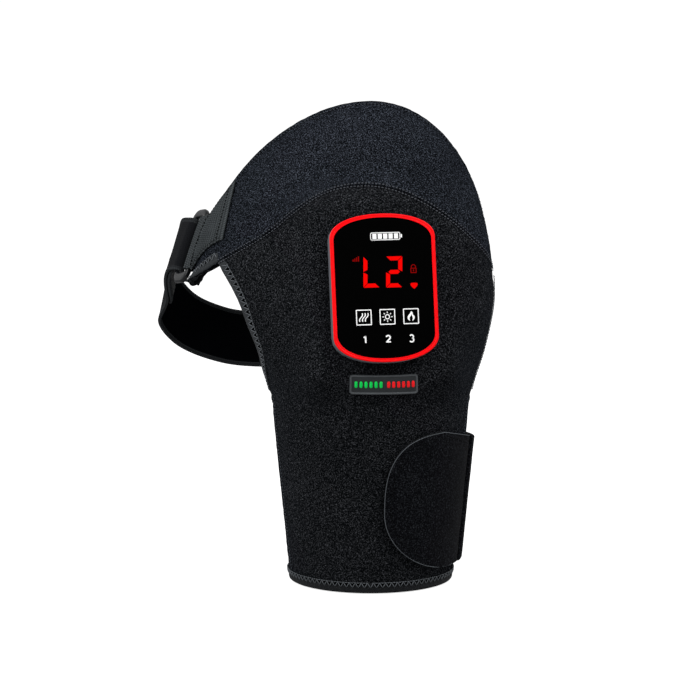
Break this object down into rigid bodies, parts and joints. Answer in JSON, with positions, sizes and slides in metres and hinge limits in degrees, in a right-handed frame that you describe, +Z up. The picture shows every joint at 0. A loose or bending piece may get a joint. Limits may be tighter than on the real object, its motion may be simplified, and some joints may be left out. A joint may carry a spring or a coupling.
{
  "type": "heated shoulder brace",
  "caption": "Padded shoulder and upper-arm brace with a clamped heat and massage controller, strap loop, buckle and hook-and-loop sleeve flap.",
  "frame": {"origin": "centre of the bounding box on the plane that the sleeve's hem stands on", "axes": "+Z up the arm from hem to shoulder, -Y out of the controller's face, +Y to the wearer's body, -X to the strap loop"},
  "size_m": [0.221, 0.1736, 0.3153],
  "materials": {
    "plush": "brushed plush knit",
    "lining": "smooth tricot",
    "binding": "overlocked tape",
    "flap": "fine brushed loop",
    "hook": "hook tape",
    "strap": "woven loop strap",
    "webbing": "woven webbing",
    "pad": "heating film on felt",
    "motor": "plated",
    "lead": "flat insulated lead",
    "gloss": "polished",
    "badge": "moulded",
    "housing": "fine spark texture",
    "red": "satin gloss",
    "key": "polished",
    "board": "solder mask",
    "cell": "laminated pouch",
    "display": "potted",
    "steel": "plated"
  },
  "bodies": {
    "brace": {"front_panel": "plush", "shoulder_cap": "plush", "rear_panel": "plush", "front_lining": "lining", "cap_lining": "lining", "rear_lining": "lining", "hem_binding": "binding", "armpit_binding_front": "binding", "armpit_binding_side": "binding", "armpit_binding_rear": "binding", "heating_pad_lower": "pad", "heating_pad_upper": "pad", "vibration_motor_1": "motor", "vibration_motor_2": "motor", "vibration_motor_3": "motor", "charging_socket": "motor", "massage_switch": "motor", "level_switch": "motor", "heat_switch": "motor", "pad_lead": "lead", "motor_lead_1": "lead", "motor_lead_2": "lead", "lead_plug": "lead", "badge": "badge", "closure_wrap": "flap", "strap_tab": "webbing", "strap_buckle": "gloss", "front_lens": "gloss", "shoulder_strap": "strap", "rear_housing": "housing", "clamp_plate": "housing", "red_bezel": "red", "circuit_board": "board", "battery_cell": "cell", "display_module": "display", "clamp_screw_1": "steel", "clamp_screw_2": "steel", "clamp_screw_3": "steel", "clamp_screw_4": "steel"},
    "massage_button": {"massage_key": "key"},
    "level_button": {"level_key": "key"},
    "heat_button": {"heat_key": "key"},
    "flap": {"arm_flap": "flap", "flap_hook": "hook"},
    "tail": {"strap_tail": "hook"}
  },
  "joints": [
    {"name": "massage_press", "type": "slide", "parent": "brace", "child": "massage_button", "axis": [-0.1296, 0.9449, -0.3005], "range_m": [0, 0.0004], "stiffness_N_per_m": 2500},
    {"name": "level_press", "type": "slide", "parent": "brace", "child": "level_button", "axis": [-0.1296, 0.9449, -0.3005], "range_m": [0, 0.0004], "stiffness_N_per_m": 2500},
    {"name": "heat_press", "type": "slide", "parent": "brace", "child": "heat_button", "axis": [-0.1296, 0.9449, -0.3005], "range_m": [0, 0.0004], "stiffness_N_per_m": 2500},
    {"name": "flap_open", "type": "hinge", "parent": "brace", "child": "flap", "pos_m": [0.09251, -0.01929, 0.05591], "axis": [0.0986, -0.0206, 0.9949], "range_deg": [0, 165]},
    {"name": "tail_peel", "type": "hinge", "parent": "brace", "child": "tail", "pos_m": [-0.09599, 0.04248, 0.21333], "axis": [-0.2834, -0.4272, -0.8586], "range_deg": [0, 50]}
  ]
}
